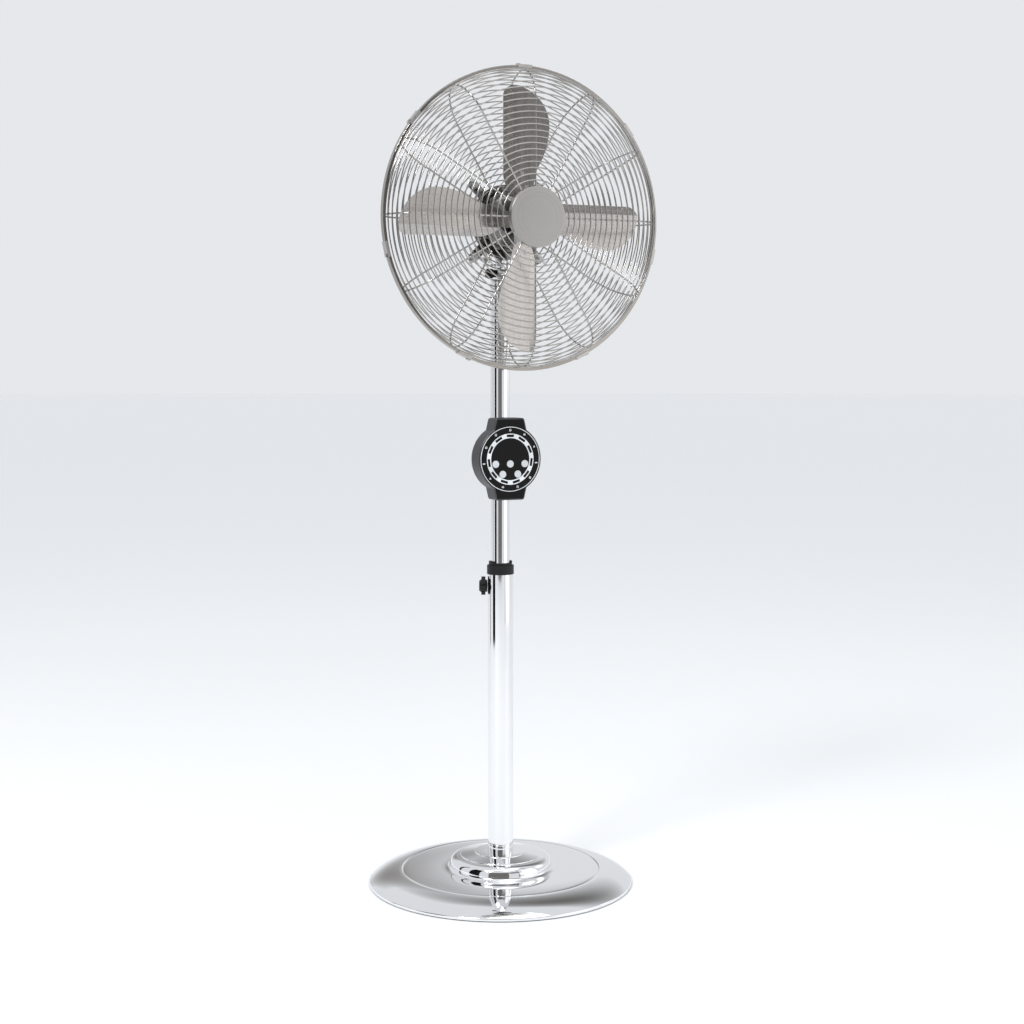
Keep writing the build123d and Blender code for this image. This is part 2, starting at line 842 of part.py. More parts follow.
with BuildPart() as tilt_knob:
    with BuildSketch(left_plane(tilt_hub_start)):
        Circle(tilt_knob_radius - tilt_knob_hub_inset)
    extrude(amount=tilt_knob_hub_length)
    with BuildSketch(left_plane(tilt_hub_start + tilt_knob_hub_length)):
        lobes(tilt_knob_radius, tilt_knob_lobe_radius, tilt_knob_lobes)
    extrude(amount=tilt_knob_length - tilt_knob_hub_length - tilt_knob_dome)
    with BuildSketch(left_plane(tilt_hub_start + tilt_knob_length - tilt_knob_dome)):
        Circle(tilt_knob_radius - tilt_knob_lobe_radius)
    extrude(amount=tilt_knob_dome, taper=knob_taper)
    with BuildSketch(left_plane(tilt_hub_start)):
        Circle(tilt_bolt_radius + running_gap)
    extrude(amount=tilt_knob_length - tilt_knob_cap, mode=Mode.SUBTRACT)
finish(tilt_knob, "tilt_knob")

# ================================================================================================
# Neck: tilts in the fork and carries the swing pin
# ================================================================================================
bush_outer = swing_pin_radius + running_gap + neck_bush_wall
neck_bore = bush_outer + fit_gap
neck_bore_bottom = neck_bottom + neck_floor
eye_x, eye_back = link_eye
arm_bottom = neck_bottom + arm_rise
with BuildPart() as neck_post:
    with BuildSketch(Plane.YZ.offset(-tongue_thickness / 2)):
        with Locations((0, tilt_pivot_height)):
            Circle(tongue_radius)
        with Locations((0, tilt_pivot_height + neck_shoulder / 2)):
            Rectangle(2 * (neck_radius - neck_flat), neck_shoulder)
    extrude(amount=tongue_thickness)
    with BuildSketch(Plane.XY.offset(neck_bottom)):
        Circle(neck_radius)
    extrude(amount=neck_length)
    with BuildSketch(Plane.XY.offset(arm_bottom)):
        Circle(arm_eye_radius)
        with Locations((eye_x, eye_back)):
            Circle(arm_eye_radius)
        make_hull()
    extrude(amount=arm_thickness)
    with BuildSketch(Plane.XY.offset(arm_bottom + arm_thickness)):
        with Locations((eye_x, eye_back)):
            Circle(arm_pin_radius)
    extrude(amount=link_bottom - swing_gap - arm_bottom - arm_thickness)
    with BuildSketch(Plane.XY.offset(neck_bore_bottom)):
        Circle(neck_bore)
    extrude(amount=neck_length, mode=Mode.SUBTRACT)
    with BuildSketch(Plane.YZ.offset(-cheek_outside)):
        with Locations((0, tilt_pivot_height)):
            Circle(tilt_bolt_radius + running_gap)
    extrude(amount=2 * cheek_outside, mode=Mode.SUBTRACT)
finish(neck_post, "neck_post")

with BuildPart() as neck_bush:
    with BuildSketch(Plane.XY.offset(neck_bore_bottom + fit_gap)):
        Circle(bush_outer)
        Circle(swing_pin_radius + running_gap, mode=Mode.SUBTRACT)
    extrude(amount=neck_top - neck_bore_bottom)
    with BuildSketch(Plane.XY.offset(neck_top + fit_gap)):
        Circle(neck_radius - neck_flat)
        Circle(swing_pin_radius + running_gap, mode=Mode.SUBTRACT)
    extrude(amount=bush_flange_height - fit_gap)
finish(neck_bush, "neck_bush")

# ================================================================================================
# Head: motor casing on the swing pin
# ================================================================================================
with BuildPart() as motor_mount:
    with BuildSketch(Plane.XY.offset(mount_bottom)):
        with Locations((0, mount_shift)):
            RectangleRounded(mount_width, mount_length, mount_round)
    extrude(amount=motor_radius / 2)
    with BuildSketch(head_plane(lug_back)):
        Circle(motor_radius + fit_gap)
    extrude(amount=-2 * motor_radius, mode=Mode.SUBTRACT)
    with BuildSketch(Plane.XY.offset(mount_bottom)):
        Circle(swing_pin_radius)
    extrude(amount=neck_bore_bottom + swing_pin_end - mount_bottom)
finish(motor_mount, "motor_mount")

front_seat = nose_forward - nose_wall
lug_start = flange_radius - lug_root
with BuildPart() as motor_front_cover:
    with BuildSketch(side_plane):
        with BuildLine():
            Polyline(
                (-motor_split_back, inner_radius),
                (-motor_split_back, motor_radius),
                (lug_back, motor_radius),
                (lug_back, flange_radius),
                (lug_front, flange_radius),
                (lug_front, dome_radius),
            )
            TangentArc((lug_front, dome_radius), (nose_forward, nose_radius), tangent=(1, -0.12))
            Polyline(
                (nose_forward, nose_radius),
                (nose_forward, shaft_hole_radius),
                (front_seat, shaft_hole_radius),
                (front_seat, bearing_radius + fit_gap),
                (front_seat - bearing_length, bearing_radius + fit_gap),
                (front_seat - bearing_length, nose_radius + nose_skin),
            )
            TangentArc(
                (front_seat - bearing_length, nose_radius + nose_skin),
                (lug_front - flange_thickness, inner_radius),
                tangent=(-0.25, 1),
            )
            Line((lug_front - flange_thickness, inner_radius), (-motor_split_back, inner_radius))
        make_face()
    revolve(axis=spin_axis)
    with BuildSketch(head_plane(lug_back)):
        with PolarLocations(0, 4, start_angle=45):
            with Locations(((lug_start + stud_circle_radius) / 2, 0)):
                Rectangle(stud_circle_radius - lug_start, lug_width)
        with PolarLocations(stud_circle_radius, 4, start_angle=45):
            Circle(lug_width / 2)
            Circle(stud_radius + fit_gap, mode=Mode.SUBTRACT)
        Circle(lug_start, mode=Mode.SUBTRACT)
    extrude(amount=flange_thickness)
finish(motor_front_cover, "motor_front_cover")

with BuildPart() as motor_rear_cover:
    with BuildSketch(side_plane):
        start = -motor_split_back - fit_gap
        dome_start = -motor_straight_back
        dome_end = -motor_dome_back
        bore = bearing_radius + fit_gap
        boss_end = -web_front_back - bearing_length - bearing_lip_depth
        boss_radius = bearing_radius + bearing_boss_wall
        with BuildLine():
            Polyline(
                (start, inner_radius),
                (start, motor_radius),
                (dome_start, motor_radius),
            )
            TangentArc((dome_start, motor_radius), (dome_end, dome_flat_radius), tangent=(-1, 0))
            Polyline(
                (dome_end, dome_flat_radius),
                (dome_end, 0),
                (dome_end + motor_wall, 0),
                (dome_end + motor_wall, dome_flat_radius - 1),
            )
            inner_end = (dome_end + motor_wall, dome_flat_radius - 1)
            TangentArc((dome_start, inner_radius), inner_end, tangent=(-1, 0))
            Polyline(
                (dome_start, inner_radius),
                (-web_back, inner_radius),
                (-web_back, boss_radius),
                (boss_end, boss_radius),
                (boss_end, bore - bearing_lip),
                (boss_end + bearing_lip_depth, bore - bearing_lip),
                (boss_end + bearing_lip_depth, bore),
                (-web_front_back, bore),
                (-web_front_back, inner_radius),
                (start, inner_radius),
            )
        make_face()
    revolve(axis=spin_axis)
    with BuildSketch(Plane.XY.offset(head_height - motor_radius - 1)):
        with Locations((0, swing_back)):
            Circle(crank_shaft_radius + free_gap)
    extrude(amount=motor_radius / 4, mode=Mode.SUBTRACT)
    with BuildSketch(head_plane(-motor_straight_back)):
        with PolarLocations(vent_circle_radius, vent_count):
            Circle(vent_radius)
    extrude(amount=-motor_radius, mode=Mode.SUBTRACT)
finish(motor_rear_cover, "motor_rear_cover")

core_front = core_length / 2 - core_shift
winding_gap = slot_radius - winding_radius
with BuildPart() as stator_core:
    with BuildSketch(head_plane(core_front - core_length)):
        Circle(inner_radius - fit_gap)
        Circle(core_radius + air_gap, mode=Mode.SUBTRACT)
        with PolarLocations(slot_circle_radius, slot_count):
            Circle(slot_radius, mode=Mode.SUBTRACT)
    extrude(amount=core_length)
finish(stator_core, "stator_core")

with BuildPart() as stator_windings:
    with BuildSketch(head_plane(core_front - core_length - winding_gap)):
        with PolarLocations(slot_circle_radius, slot_count):
            Circle(winding_radius)
    extrude(amount=core_length + 2 * winding_gap)
    for start, reach in ((core_front + winding_gap, 1), (core_front - core_length - winding_gap, -1)):
        with BuildSketch(head_plane(start)):
            Circle(slot_circle_radius + winding_radius + winding_wrap)
            Circle(slot_circle_radius - winding_radius - winding_wrap, mode=Mode.SUBTRACT)
        extrude(amount=reach * winding_end)
finish(stator_windings, "stator_windings")

bearing_starts = (front_seat - bearing_length + fit_gap, -web_front_back - bearing_length + fit_gap)
with BuildPart() as motor_bearings:
    for start in bearing_starts:
        with BuildSketch(head_plane(start)):
            Circle(bearing_radius)
            Circle(shaft_radius + running_gap, mode=Mode.SUBTRACT)
        extrude(amount=bearing_length - 2 * fit_gap)
finish(motor_bearings, "motor_bearings")

with BuildPart() as capacitor:
    with BuildSketch(head_plane(-web_back - fit_gap)):
        with Locations((0, inner_radius - capacitor_inset)):
            RectangleRounded(*capacitor_size, capacitor_round)
    extrude(amount=-capacitor_length)
finish(capacitor, "capacitor")

swing_motor_bottom = head_height - sqrt((inner_radius - swing_motor_seat) ** 2 - swing_motor_radius ** 2)
with BuildPart() as swing_motor:
    with BuildSketch(Plane.XY.offset(swing_motor_bottom)):
        with Locations((0, swing_back)):
            Circle(swing_motor_radius)
    extrude(amount=swing_motor_height)
finish(swing_motor, "swing_motor")

# ---- swing crank and link ----------------------------------------------------------------------
with BuildPart() as swing_crank:
    with BuildSketch(Plane.XY.offset(crank_bottom)):
        with Locations((0, swing_back)):
            Circle(crank_radius)
    extrude(amount=crank_thickness)
    with BuildSketch(Plane.XY.offset(crank_top)):
        with Locations((0, swing_back)):
            Circle(crank_shaft_radius)
    extrude(amount=swing_motor_bottom - free_gap - crank_top)
    with BuildSketch(Plane.XY.offset(crank_bottom)):
        with Locations((crank_throw, swing_back)):
            Circle(link_pin_radius)
    extrude(amount=link_bottom - crank_pin_end - crank_bottom)
finish(swing_crank, "swing_crank")

# the link's far eye is the linkage's open pivot: it rides just above the neck's pin
with BuildPart() as swing_link:
    with BuildSketch(Plane.XY.offset(link_bottom)):
        with Locations((crank_throw, swing_back), link_eye):
            Circle(link_width / 2)
        make_hull()
        with Locations((crank_throw, swing_back)):
            Circle(link_pin_radius + running_gap, mode=Mode.SUBTRACT)
        with Locations(link_eye):
            Circle(arm_pin_radius + running_gap, mode=Mode.SUBTRACT)
    extrude(amount=link_thickness)
finish(swing_link, "swing_link")

# ================================================================================================
# Guards: wire rings welded on spokes, held together by a rim band and clips
# ================================================================================================
front_bend_forward = front_guard_forward - front_bend
front_flat_radius = guard_radius - front_bend
rear_bend_forward = rear_guard_forward + rear_bend
rear_flat_radius = guard_radius - rear_bend
wire_offset = rim_depth / 2 - rim_wall - rim_wire_radius - fit_gap
front_wire_forward = rim_forward + wire_offset
rear_wire_forward = rim_forward - wire_offset
rim_wire_centre = rim_radius - rim_wall - rim_wire_radius - fit_gap


def guard_rings(flat_radius, flat_forward, bend, bend_forward, limit):
    """Ring places (forward, radius) over the flat face and then round the bend."""
    direction = 1 if flat_forward > bend_forward else -1
    places = []
    radius = first_ring_radius
    while radius < flat_radius:
        places.append((flat_forward + direction * weld_offset, radius))
        radius += ring_pitch
    path = bend + weld_offset
    angle = (radius - flat_radius) / path
    while direction * (bend_forward + direction * path * cos(angle) - limit) > 0:
        places.append((bend_forward + direction * path * cos(angle), flat_radius + path * sin(angle)))
        angle += ring_pitch / path
    return places


def add_rings(places, wire):
    for forward, radius in places:
        with Locations(Location((0, -forward, head_height), (90, 0, 0))):
            Torus(radius, wire)


def spoke_path(inner_radius, flat_radius, flat_forward, bend, bend_forward, end_forward):
    """Straight wire over the flat face, then an arc round the bend."""
    turn = acos((end_forward - bend_forward) / (flat_forward - bend_forward))
    middle = turn / 2
    depth = flat_forward - bend_forward
    Line((flat_forward, inner_radius), (flat_forward, flat_radius))
    ThreePointArc(
        (flat_forward, flat_radius),
        (bend_forward + depth * cos(middle), flat_radius + bend * sin(middle)),
        (end_forward, flat_radius + bend * sin(turn)),
    )


front_places = guard_rings(
    front_flat_radius, front_guard_forward, front_bend, front_bend_forward,
    rim_forward + rim_depth / 2 + ring_radius + rim_ring_gap,
)
rear_places = guard_rings(
    rear_flat_radius, rear_guard_forward, rear_bend, rear_bend_forward,
    rim_forward - rim_depth / 2 - ring_radius - rim_ring_gap,
)

with BuildPart() as front_guard_rings:
    add_rings(front_places, ring_radius)
    add_rings([(front_guard_forward - weld_offset, front_hub_ring_radius)], ring_radius)
finish(front_guard_rings, "front_guard_rings")

with BuildPart() as rear_guard_rings:
    add_rings(rear_places, ring_radius)
finish(rear_guard_rings, "rear_guard_rings")

with BuildPart() as front_spoke:
    with BuildLine(side_plane) as front_path:
        spoke_path(
            front_hub_ring_radius - front_spoke_end, front_flat_radius, front_guard_forward,
            front_bend, front_bend_forward, front_wire_forward,
        )
    with BuildSketch(front_path.line ^ 0):
        Circle(spoke_radius)
    sweep(path=front_path.line)

with BuildPart() as rear_spoke:
    with BuildLine(side_plane) as rear_path:
        spoke_path(
            first_ring_radius - rear_spoke_end, rear_flat_radius, rear_guard_forward,
            rear_bend, rear_bend_forward, rear_wire_forward,
        )
    with BuildSketch(rear_path.line ^ 0):
        Circle(spoke_radius)
    sweep(path=rear_path.line)

# twelve spokes welded to the heavier wire that sits in the rim band
for spoke, wire_forward, name in (
    (front_spoke, front_wire_forward, "front_guard_frame"),
    (rear_spoke, rear_wire_forward, "rear_guard_frame"),
):
    with BuildPart() as guard_frame:
        for index in range(spoke_count):
            add(spoke.part.rotate(spin_axis, index * 360 / spoke_count))
        add_rings([(wire_forward, rim_wire_centre)], rim_wire_radius)
    finish(guard_frame, name)

rim_front = rim_forward + rim_depth / 2
with BuildPart() as guard_rim:
    with BuildSketch(side_plane):
        with Locations((rim_forward, rim_radius - rim_lip / 2)):
            Rectangle(rim_depth, rim_lip)
        with Locations((rim_forward, rim_radius - rim_wall - rim_lip / 2)):
            Rectangle(rim_depth - 2 * rim_wall, rim_lip, mode=Mode.SUBTRACT)
    revolve(axis=spin_axis)
    outer_edges = guard_rim.edges().filter_by(GeomType.CIRCLE).group_by(SortBy.RADIUS)[-1]
    fillet(outer_edges, rim_wall * 0.8)
finish(guard_rim, "guard_rim")

disc_plane = head_plane(front_guard_forward + spoke_radius + weld_gap)
with BuildPart() as front_disc:
    with BuildSketch(disc_plane):
        Circle(disc_radius)
    extrude(amount=disc_thickness)
    fillet(front_disc.faces().sort_by(Axis.Y)[0].edges(), disc_edge_fillet)
    with BuildSketch(disc_plane):
        Circle(disc_radius - disc_wall)
    extrude(amount=disc_thickness - disc_wall, mode=Mode.SUBTRACT)
finish(front_disc, "front_disc")

clip_inside = rim_radius + fit_gap
with BuildPart() as clip:
    with BuildSketch(Plane.YZ.offset(-clip_length / 2)):
        with Locations((-rim_forward, head_height + clip_inside + clip_wall - clip_leg / 2)):
            Rectangle(rim_depth + 2 * fit_gap + 2 * clip_wall, clip_leg)
    extrude(amount=clip_length)
    with BuildSketch(Plane.YZ.offset(-clip_length / 2)):
        with Locations((-rim_forward, head_height + clip_inside + clip_wall)):
            Rectangle(rim_depth * 0.6, 2 * (clip_proud - clip_wall - fit_gap))
    extrude(amount=clip_tab_length)
    with BuildSketch(head_plane(rim_front + fit_gap)):
        Circle(clip_inside)
    extrude(amount=-rim_depth - 2 * fit_gap, mode=Mode.SUBTRACT)
with BuildPart() as rim_clips:
    for index in range(clip_count):
        add(clip.part.rotate(spin_axis, index * 360 / clip_count))
finish(rim_clips, "rim_clips")

with BuildPart() as guard_studs:
    with BuildSketch(head_plane(lug_back - fit_gap)):
        with PolarLocations(stud_circle_radius, 4, start_angle=45):
            Circle(stud_head_radius)
    extrude(amount=-stud_head_length)
    with BuildSketch(head_plane(lug_back - fit_gap)):
        with PolarLocations(stud_circle_radius, 4, start_angle=45):
            Circle(stud_radius)
    extrude(amount=flange_thickness + stud_length_front)
finish(guard_studs, "guard_studs")

# washer, threaded barrel and two wings along the radius
washer_back = rear_guard_forward - weld_offset + ring_radius + weld_gap
nut_back = washer_back + wing_washer_thickness + fit_gap
with BuildPart() as wing_nuts:
    for start, radius, length in (
        (washer_back, wing_washer_radius, wing_washer_thickness),
        (nut_back, wing_barrel_radius, wing_barrel_length),
    ):
        with BuildSketch(head_plane(start)):
            with PolarLocations(stud_circle_radius, 4, start_angle=45):
                Circle(radius)
                Circle(stud_radius + fit_gap, mode=Mode.SUBTRACT)
        extrude(amount=length)
    with BuildSketch(head_plane(nut_back + wing_rise)):
        for reach in (-wing_offset, wing_offset):
            with PolarLocations(stud_circle_radius, 4, start_angle=45):
                with Locations((reach, 0)):
                    RectangleRounded(wing_length, wing_thickness, wing_round)
    extrude(amount=wing_height)
finish(wing_nuts, "wing_nuts")

# ================================================================================================
# Rotor: core, shaft, riveted hub and four blades
# ================================================================================================
shaft_front = hub_front + hub_nut_length + shaft_end
with BuildPart() as motor_shaft:
    with BuildSketch(head_plane(shaft_front)):
        Circle(shaft_radius)
    extrude(amount=-shaft_front - web_front_back - bearing_length)
finish(motor_shaft, "motor_shaft")

with BuildPart() as rotor_core:
    with BuildSketch(head_plane(core_front - core_length)):
        Circle(core_radius)
        Circle(shaft_radius + fit_gap, mode=Mode.SUBTRACT)
    extrude(amount=core_length)
finish(rotor_core, "rotor_core")


def pitched_plane(pitch, height):
    """Plane through the upper blade's crease, pitched about it and lifted along its normal."""
    across = (cos(radians(pitch)), -sin(radians(pitch)), 0)
    normal = (-sin(radians(pitch)), -cos(radians(pitch)), 0)
    return Plane(origin=crease_place, x_dir=across, z_dir=normal).offset(height)


panel_width = crease_offset + belly_offset
panel_end = (panel_width * cos(radians(blade_pitch)), -panel_width * sin(radians(blade_pitch)))
strip_end = (-strip_width * cos(radians(strip_pitch)), strip_width * sin(radians(strip_pitch)))
crease_place = (-crease_offset, -blade_forward, head_height)
panel_reach = panel_end[0]
strip_reach = strip_end[0]
shoulder_radius = blade_tip_radius - strip_width
waist = (panel_reach * 0.66, belly_radius - belly_below_tip * 1.1)
strip_foot = blade_root_radius + 2 * strip_width

# the upper blade from the front: straight down the strip's side, bellied on the panel's
with BuildSketch() as outline:
    with BuildLine():
        Line((strip_reach, strip_foot), (strip_reach, shoulder_radius))
        ThreePointArc(
            (strip_reach, shoulder_radius),
            (strip_reach * (1 - mid_arc), blade_tip_radius - strip_width * mid_arc),
            (0, blade_tip_radius),
        )
        ThreePointArc(
            (0, blade_tip_radius),
            (panel_reach * 0.68, blade_tip_radius - belly_below_tip * mid_arc),
            (panel_reach, belly_radius),
        )
        ThreePointArc(
            (panel_reach, belly_radius),
            (panel_reach * 0.9, belly_radius - belly_below_tip * 0.6),
            waist,
        )
        Polyline(
            waist,
            (panel_reach * 0.5, blade_root_radius + blade_root_round),
            (panel_reach * 0.42, blade_root_radius),
            (0, blade_root_radius),
        )
        ThreePointArc(
            (0, blade_root_radius),
            (strip_reach * 0.7, blade_root_radius + strip_width),
            (strip_reach, strip_foot),
        )
    make_face()

# a creased plate, cut to the outline and drilled for its rivets
with BuildPart() as blade_panel:
    with BuildSketch(Plane(crease_place)):
        with BuildLine():
            FilletPolyline(strip_end, (0, 0), panel_end, radius=crease_bend)
            offset(amount=blade_thickness, side=Side.RIGHT)
        make_face()
    extrude(amount=2 * blade_tip_radius)
    with BuildSketch(Plane(origin=crease_place, x_dir=(1, 0, 0), z_dir=(0, -1, 0))):
        add(outline.sketch)
    extrude(amount=panel_width, both=True, mode=Mode.INTERSECT)
    with BuildSketch(pitched_plane(blade_pitch, -blade_thickness)):
        with Locations(*rivet_places):
            Circle(rivet_radius + fit_gap)
    extrude(amount=3 * blade_thickness, mode=Mode.SUBTRACT)

with BuildPart() as hub_arm:
    with BuildSketch(pitched_plane(blade_pitch, -fit_gap)):
        with Locations((crease_offset, arm_length / 2)):
            Rectangle(2 * (crease_offset - arm_inset), arm_length)
        with Locations(*rivet_places):
            Circle(rivet_radius + fit_gap, mode=Mode.SUBTRACT)
    extrude(amount=-arm_plate)

with BuildPart() as arm_rivets:
    for start, reach, radius in (
        (-fit_gap - arm_plate - fit_gap, arm_plate + blade_thickness + 3 * fit_gap, rivet_radius),
        (blade_thickness + fit_gap, rivet_head_height, rivet_head_radius),
        (-fit_gap - arm_plate - fit_gap, -rivet_head_height, rivet_head_radius),
    ):
        with BuildSketch(pitched_plane(blade_pitch, start)):
            with Locations(*rivet_places):
                Circle(radius)
        extrude(amount=reach)

for index in range(blade_count):
    with BuildPart() as blade:
        add(blade_panel.part.rotate(spin_axis, index * 360 / blade_count))
    finish(blade, f"blade_{index + 1}")

with BuildPart() as blade_hub:
    with BuildSketch(head_plane(hub_back)):
        Circle(hub_radius)
    extrude(amount=hub_front - hub_back)
    for index in range(blade_count):
        add(hub_arm.part.rotate(spin_axis, index * 360 / blade_count))
    with BuildSketch(head_plane(hub_back - arm_length)):
        Circle(shaft_radius + fit_gap)
    extrude(amount=hub_front - hub_back + 2 * arm_length, mode=Mode.SUBTRACT)
finish(blade_hub, "blade_hub")

with BuildPart() as blade_rivets:
    for index in range(blade_count):
        add(arm_rivets.part.rotate(spin_axis, index * 360 / blade_count))
finish(blade_rivets, "blade_rivets")

with BuildPart() as hub_nut:
    with BuildSketch(head_plane(hub_front + fit_gap)):
        RegularPolygon(hub_nut_radius, 6)
        Circle(shaft_radius + fit_gap, mode=Mode.SUBTRACT)
    extrude(amount=hub_nut_length)
finish(hub_nut, "hub_nut")
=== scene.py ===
import bpy
from math import cos, pi, radians, sin
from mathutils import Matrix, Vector


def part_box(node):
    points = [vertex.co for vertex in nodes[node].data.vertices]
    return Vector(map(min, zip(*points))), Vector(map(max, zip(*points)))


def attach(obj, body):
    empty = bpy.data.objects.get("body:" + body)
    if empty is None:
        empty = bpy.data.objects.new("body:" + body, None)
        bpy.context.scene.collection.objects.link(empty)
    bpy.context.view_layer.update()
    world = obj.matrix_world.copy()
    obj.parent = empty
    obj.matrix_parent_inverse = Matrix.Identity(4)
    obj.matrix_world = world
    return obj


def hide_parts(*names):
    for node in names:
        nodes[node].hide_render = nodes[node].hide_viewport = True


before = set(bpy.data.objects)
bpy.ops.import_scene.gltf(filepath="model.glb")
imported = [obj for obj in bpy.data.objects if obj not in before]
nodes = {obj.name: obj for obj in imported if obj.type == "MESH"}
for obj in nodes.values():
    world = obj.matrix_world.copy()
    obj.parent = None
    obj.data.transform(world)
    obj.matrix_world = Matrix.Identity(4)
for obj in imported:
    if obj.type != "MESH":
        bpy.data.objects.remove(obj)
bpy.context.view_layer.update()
perMetre = 1000    # millimetres
print("frame loaded:", len(nodes), "nodes")


def middle(node):
    low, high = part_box(node)
    return (low + high) / 2


headCentre = middle("guard_rim")
faceCentre = middle("face_rings")


# shader maths: a wrapped socket that adds a Math node for each operator
class Socket:
    def __init__(self, shader, link):
        self.shader = shader
        self.link = link

    def __add__(self, other):
        return self.shader.maths("ADD", self, other)

    def __mul__(self, other):
        return self.shader.maths("MULTIPLY", self, other)

    def __sub__(self, other):
        return self.shader.maths("SUBTRACT", self, other)

    def __rsub__(self, other):
        return self.shader.maths("SUBTRACT", other, self)

    def __pow__(self, other):
        return self.shader.maths("POWER", self, other)

    __radd__ = __add__
    __rmul__ = __mul__


class Shader:
    def __init__(self, name):
        self.material = bpy.data.materials.new(name)
        self.material.use_nodes = True
        self.tree = self.material.node_tree
        self.tree.nodes.clear()

    def node(self, kind, inputs=None, output=0, stops=None, **settings):
        made = self.tree.nodes.new(kind)
        for key, value in settings.items():
            setattr(made, key, value)
        if stops:
            ramp = made.color_ramp
            for index, (place, color) in enumerate(stops):
                stop = ramp.elements[index] if index < 2 else ramp.elements.new(place)
                stop.position = place
                stop.color = (*color, 1)
        for key, value in (inputs or {}).items():
            if isinstance(value, Socket):
                self.tree.links.new(value.link, made.inputs[key])
            else:
                made.inputs[key].default_value = value
        return Socket(self, made.outputs[output] if len(made.outputs) else None)

    def maths(self, operation, first, second=0.0):
        return self.node("ShaderNodeMath", {0: first, 1: second}, operation=operation)

    def place(self, centre=(0, 0, 0), turn=0.0, scale=(1, 1, 1)):
        # object coordinates moved to a centre, turned about the fan's axis, then stretched
        spot = self.node("ShaderNodeTexCoord", output="Object")
        spot = self.node("ShaderNodeVectorMath", {0: spot, 1: tuple(centre)}, operation="SUBTRACT")
        spot = self.node("ShaderNodeMapping", {"Vector": spot, "Rotation": (0, turn, 0)})
        return self.node("ShaderNodeMapping", {"Vector": spot, "Scale": scale})

    def noise(self, spot, scale, detail=3.0, roughness=0.55):
        wanted = {"Vector": spot, "Scale": scale, "Detail": detail, "Roughness": roughness}
        return self.node("ShaderNodeTexNoise", wanted)

    def tint(self, amount, dark, light):
        return self.node(
            "ShaderNodeValToRGB", {"Fac": amount}, stops=((0.25, dark), (0.75, light)))

    def bump(self, height, strength, distance):
        return self.node(
            "ShaderNodeBump", {"Height": height, "Strength": strength, "Distance": distance})

    def surface(self, color, roughness, metallic=0.0, normal=None, **fixed):
        if not isinstance(color, Socket):
            color = (*color, 1)
        wanted = {"Base Color": color, "Roughness": roughness, "Metallic": metallic}
        if normal:
            wanted["Normal"] = normal
        wanted.update({key.replace("_", " "): value for key, value in fixed.items()})
        shade = self.node("ShaderNodeBsdfPrincipled", wanted)
        self.node("ShaderNodeOutputMaterial", {"Surface": shade})
        return self.material


def scaled(color, factor):
    return tuple(min(1.0, part * factor) for part in color)


# chrome: faint smudges, and fine upright wipe marks
chrome = {
    "color": (0.87, 0.875, 0.885), "roughness": 0.035,
    "smudge": 0.05, "smudgeScale": 22, "wipe": 0.012, "wipeScale": 140,
}
# painted shade: a darker copy of the chrome that stands in for the dark look of the motor region
paintedShadeLook = {**chrome, "color": (0.20, 0.195, 0.19), "roughness": 0.05}


def polishedChrome(name="polished chrome", look=chrome):
    s = Shader(name)
    smudge = s.noise(s.place(), look["smudgeScale"], 4)
    wipe = s.noise(s.place(scale=(1, 1, 0.25)), look["wipeScale"], 2)
    roughness = look["roughness"] + smudge ** 3 * look["smudge"] + wipe * look["wipe"]
    color = s.tint(smudge, scaled(look["color"], 0.97), look["color"])
    return s.surface(color, roughness, 1.0)


# brushed sheet: long fine lines along the fan's radius, or along an axis
brushed = {"color": (0.56, 0.535, 0.515), "roughness": 0.13, "grain": 0.13, "bump": 0.16}
bandLook = {"color": (0.085, 0.085, 0.09), "roughness": 0.28, "grain": 0.2, "bump": 0.16}


def brushedSheet(name, turn=0.0, look=brushed, scale=(420, 420, 9)):
    s = Shader(name)
    lines = s.noise(s.place(headCentre, turn, scale), 1.0, 3, 0.7)
    clouds = s.noise(s.place(headCentre, turn), 9, 3)
    mixed = lines * 0.6 + clouds * 0.4
    color = s.tint(mixed, scaled(look["color"], 0.84), scaled(look["color"], 1.12))
    roughness = look["roughness"] + lines * look["grain"] + clouds * 0.05
    return s.surface(color, roughness, 1.0, s.bump(lines, look["bump"], 0.0003))


# turned sheet: rings of fine lines round the fan's axis
turned = {"color": (0.44, 0.425, 0.41), "roughness": 0.24, "lines": 1500, "waver": 14}


def turnedSheet(name="turned aluminium", centre=headCentre, look=turned):
    s = Shader(name)
    spot = s.place(centre)
    across, up = [s.node("ShaderNodeSeparateXYZ", {0: spot}, output=axis) for axis in (0, 2)]
    radius = (across ** 2 + up ** 2) ** 0.5
    waver = look["waver"]
    grooves = {0: radius * look["lines"], 1: across * waver, 2: up * waver}
    lines = s.noise(s.node("ShaderNodeCombineXYZ", grooves), 1.0, 2, 0.7)
    color = s.tint(lines, scaled(look["color"], 0.9), scaled(look["color"], 1.08))
    return s.surface(color, look["roughness"] + lines * 0.12, 1.0, s.bump(lines, 0.12, 0.0002))


# drawn wire: nickel with fine draw marks
wire = {"color": (0.45, 0.435, 0.42), "roughness": 0.07, "drawn": 0.08, "drawnScale": 260}


def satinWire(name="satin nickel wire", color=wire["color"]):
    s = Shader(name)
    drawn = s.noise(s.place(), wire["drawnScale"], 3)
    clouds = s.noise(s.place(), 14, 2)
    tone = s.tint(clouds, scaled(color, 0.88), scaled(color, 1.1))
    roughness = wire["roughness"] + drawn * wire["drawn"]
    return s.surface(tone, roughness, 1.0, s.bump(drawn, 0.05, 0.0002))


